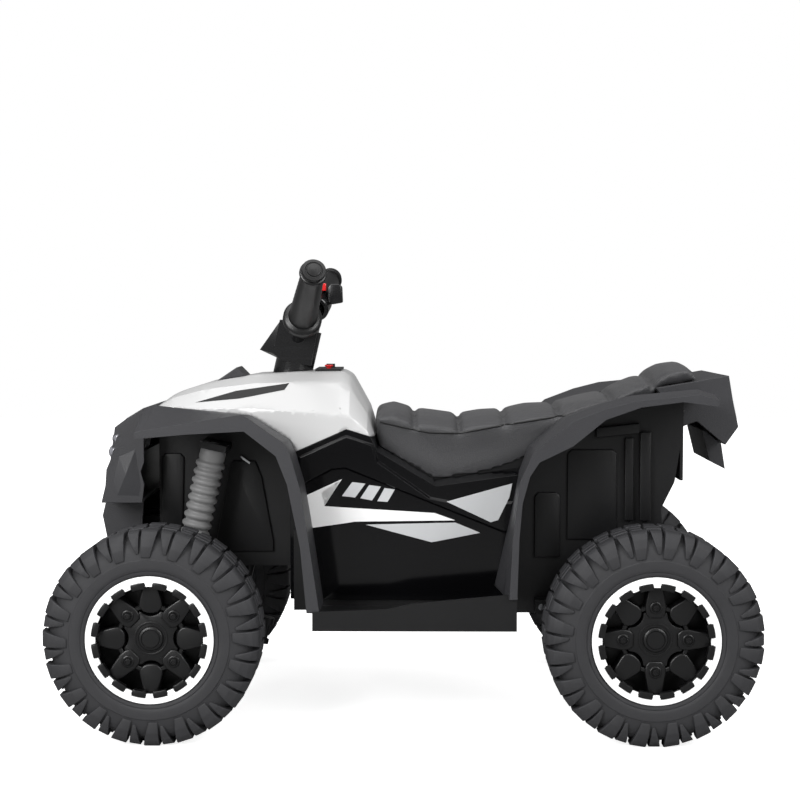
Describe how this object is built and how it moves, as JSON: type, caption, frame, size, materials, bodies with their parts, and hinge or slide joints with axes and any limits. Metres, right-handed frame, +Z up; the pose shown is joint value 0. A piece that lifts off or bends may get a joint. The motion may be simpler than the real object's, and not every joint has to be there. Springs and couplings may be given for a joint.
{
  "type": "kids quad bike",
  "caption": "Battery ride-on quad bike for a child: moulded body, padded saddle, sprung steered front axle, geared rear wheels and a handlebar with a thumb throttle.",
  "frame": {"origin": "on the ground, midway between the axles, on the middle plane", "axes": "+X to the rear, +Y to the rider's right, +Z up"},
  "size_m": [0.9232, 0.556, 0.6281],
  "materials": {
    "black_plastic": "moulded plastic with a fine grain",
    "charcoal_body": "matte moulded plastic with a fine grain",
    "gloss_black": "polished moulded plastic",
    "white_body": "polished moulded plastic",
    "white_ring": "polished moulded plastic",
    "rim_black": "satin moulded plastic",
    "tyre_tread": "matte moulded tread",
    "seat_cover": "grained artificial leather",
    "boot_rubber": "soft moulded rubber",
    "grip_rubber": "soft moulded rubber",
    "lamp_lens": "clear moulded lens over a reflector",
    "bright_steel": "zinc plated",
    "spring_steel": "oiled spring steel",
    "dark_steel": "black powder coat",
    "motor_can": "drawn steel can",
    "gear_nylon": "natural nylon",
    "battery_case": "moulded case",
    "red_button": "moulded button"
  },
  "bodies": {
    "chassis": {"battery": "battery_case", "body_screws": "bright_steel", "charge_socket": "black_plastic", "chassis_tub": "black_plastic", "control_unit": "black_plastic", "dash_panel": "black_plastic", "drive_motors": "motor_can", "front_bumper": "charcoal_body", "gearbox_cases": "black_plastic", "gearbox_covers": "black_plastic", "headlight_lenses": "lamp_lens", "hood": "white_body", "hood_scoop": "black_plastic", "left_front_fender": "charcoal_body", "left_rear_fender": "charcoal_body", "left_side_panel": "gloss_black", "rear_axle": "bright_steel", "rear_mud_flap": "charcoal_body", "right_front_fender": "charcoal_body", "right_rear_fender": "charcoal_body", "right_side_panel": "gloss_black", "seat_base": "black_plastic", "seat_cushion": "seat_cover", "shock_boots": "boot_rubber", "steering_bush": "gear_nylon", "strut_rods": "bright_steel", "strut_springs": "spring_steel", "tail_panel": "charcoal_body"},
    "handlebar": {"steering_column": "bright_steel", "handlebar_cover": "black_plastic", "handlebar_tube": "dark_steel", "left_grip": "grip_rubber", "right_grip": "grip_rubber", "throttle_housing": "black_plastic"},
    "throttle": {"throttle_button": "red_button"},
    "power": {"power_button": "red_button"},
    "direction": {"direction_switch": "black_plastic"},
    "front_axle": {"front_axle_beam": "dark_steel"},
    "left_steering_knuckle": {"left_knuckle": "dark_steel"},
    "right_steering_knuckle": {"right_knuckle": "dark_steel"},
    "tie_link": {"tie_rod": "dark_steel"},
    "left_front_wheel": {"left_front_tyre": "tyre_tread", "left_front_rim": "rim_black", "left_front_rim_ring": "white_ring"},
    "right_front_wheel": {"right_front_tyre": "tyre_tread", "right_front_rim": "rim_black", "right_front_rim_ring": "white_ring"},
    "left_rear_wheel": {"left_rear_tyre": "tyre_tread", "left_rear_rim": "rim_black", "left_rear_rim_ring": "white_ring", "left_output_gear": "gear_nylon"},
    "right_rear_wheel": {"right_rear_tyre": "tyre_tread", "right_rear_rim": "rim_black", "right_rear_rim_ring": "white_ring", "right_output_gear": "gear_nylon"},
    "left_reduction": {"left_reduction_gear": "gear_nylon"},
    "right_reduction": {"right_reduction_gear": "gear_nylon"},
    "left_pinion": {"left_motor_pinion": "gear_nylon"},
    "right_pinion": {"right_motor_pinion": "gear_nylon"}
  },
  "joints": [
    {"name": "steering", "type": "hinge", "parent": "chassis", "child": "handlebar", "pos_m": [-0.24033, 0, 0.12352], "axis": [0.225, 0, 0.9744], "range_deg": [-22, 22]},
    {"name": "throttle_press", "type": "slide", "parent": "handlebar", "child": "throttle", "axis": [0, 0, -1], "range_m": [0, 0.003], "stiffness_N_per_m": 600, "springref_m": -0.002},
    {"name": "power_press", "type": "slide", "parent": "chassis", "child": "power", "axis": [0, 0, -1], "range_m": [0, 0.002], "stiffness_N_per_m": 600, "springref_m": -0.002},
    {"name": "direction_slide", "type": "slide", "parent": "chassis", "child": "direction", "axis": [1, 0, 0], "range_m": [-0.003, 0.003]},
    {"name": "front_suspension", "type": "slide", "parent": "chassis", "child": "front_axle", "axis": [0.225, 0, 0.9744], "range_m": [0, 0.016], "stiffness_N_per_m": 9000, "springref_m": -0.03, "deforming": ["shock_boots", "strut_springs"]},
    {"name": "left_kingpin", "type": "hinge", "parent": "front_axle", "child": "left_steering_knuckle", "pos_m": [-0.31, -0.138, 0.13961], "axis": [0.225, 0, 0.9744], "range_deg": [-22, 22]},
    {"name": "right_kingpin", "type": "hinge", "parent": "front_axle", "child": "right_steering_knuckle", "pos_m": [-0.31, 0.138, 0.13961], "axis": [0.225, 0, 0.9744], "range_deg": [-22, 22]},
    {"name": "tie_pivot", "type": "hinge", "parent": "left_steering_knuckle", "child": "tie_link", "pos_m": [-0.26615, -0.138, 0.12948], "axis": [0.225, 0, 0.9744], "range_deg": [-22, 22]},
    {"name": "left_front_spin", "type": "hinge", "parent": "left_steering_knuckle", "child": "left_front_wheel", "pos_m": [-0.322, -0.226, 0.13961], "axis": [0, 1, 0], "continuous": true},
    {"name": "right_front_spin", "type": "hinge", "parent": "right_steering_knuckle", "child": "right_front_wheel", "pos_m": [-0.322, 0.226, 0.13961], "axis": [0, 1, 0], "continuous": true},
    {"name": "left_rear_spin", "type": "hinge", "parent": "chassis", "child": "left_rear_wheel", "pos_m": [0.322, -0.226, 0.13961], "axis": [0, 1, 0], "continuous": true},
    {"name": "left_reduction_spin", "type": "hinge", "parent": "chassis", "child": "left_reduction", "pos_m": [0.26549, -0.15, 0.15475], "axis": [0, 1, 0], "continuous": true},
    {"name": "left_pinion_spin", "type": "hinge", "parent": "chassis", "child": "left_pinion", "pos_m": [0.23555, -0.15, 0.16277], "axis": [0, 1, 0], "continuous": true},
    {"name": "right_rear_spin", "type": "hinge", "parent": "chassis", "child": "right_rear_wheel", "pos_m": [0.322, 0.226, 0.13961], "axis": [0, 1, 0], "continuous": true},
    {"name": "right_reduction_spin", "type": "hinge", "parent": "chassis", "child": "right_reduction", "pos_m": [0.26549, 0.15, 0.15475], "axis": [0, 1, 0], "continuous": true},
    {"name": "right_pinion_spin", "type": "hinge", "parent": "chassis", "child": "right_pinion", "pos_m": [0.23555, 0.15, 0.16277], "axis": [0, 1, 0], "continuous": true}
  ],
  "couplings": [
    {"joint": "left_kingpin", "follows": "steering", "ratio": 1},
    {"joint": "right_kingpin", "follows": "steering", "ratio": 1},
    {"joint": "tie_pivot", "follows": "steering", "ratio": -1},
    {"joint": "left_reduction_spin", "follows": "left_rear_spin", "ratio": -4.5714},
    {"joint": "left_pinion_spin", "follows": "left_rear_spin", "ratio": 19.048},
    {"joint": "right_reduction_spin", "follows": "right_rear_spin", "ratio": -4.5714},
    {"joint": "right_pinion_spin", "follows": "right_rear_spin", "ratio": 19.048}
  ]
}
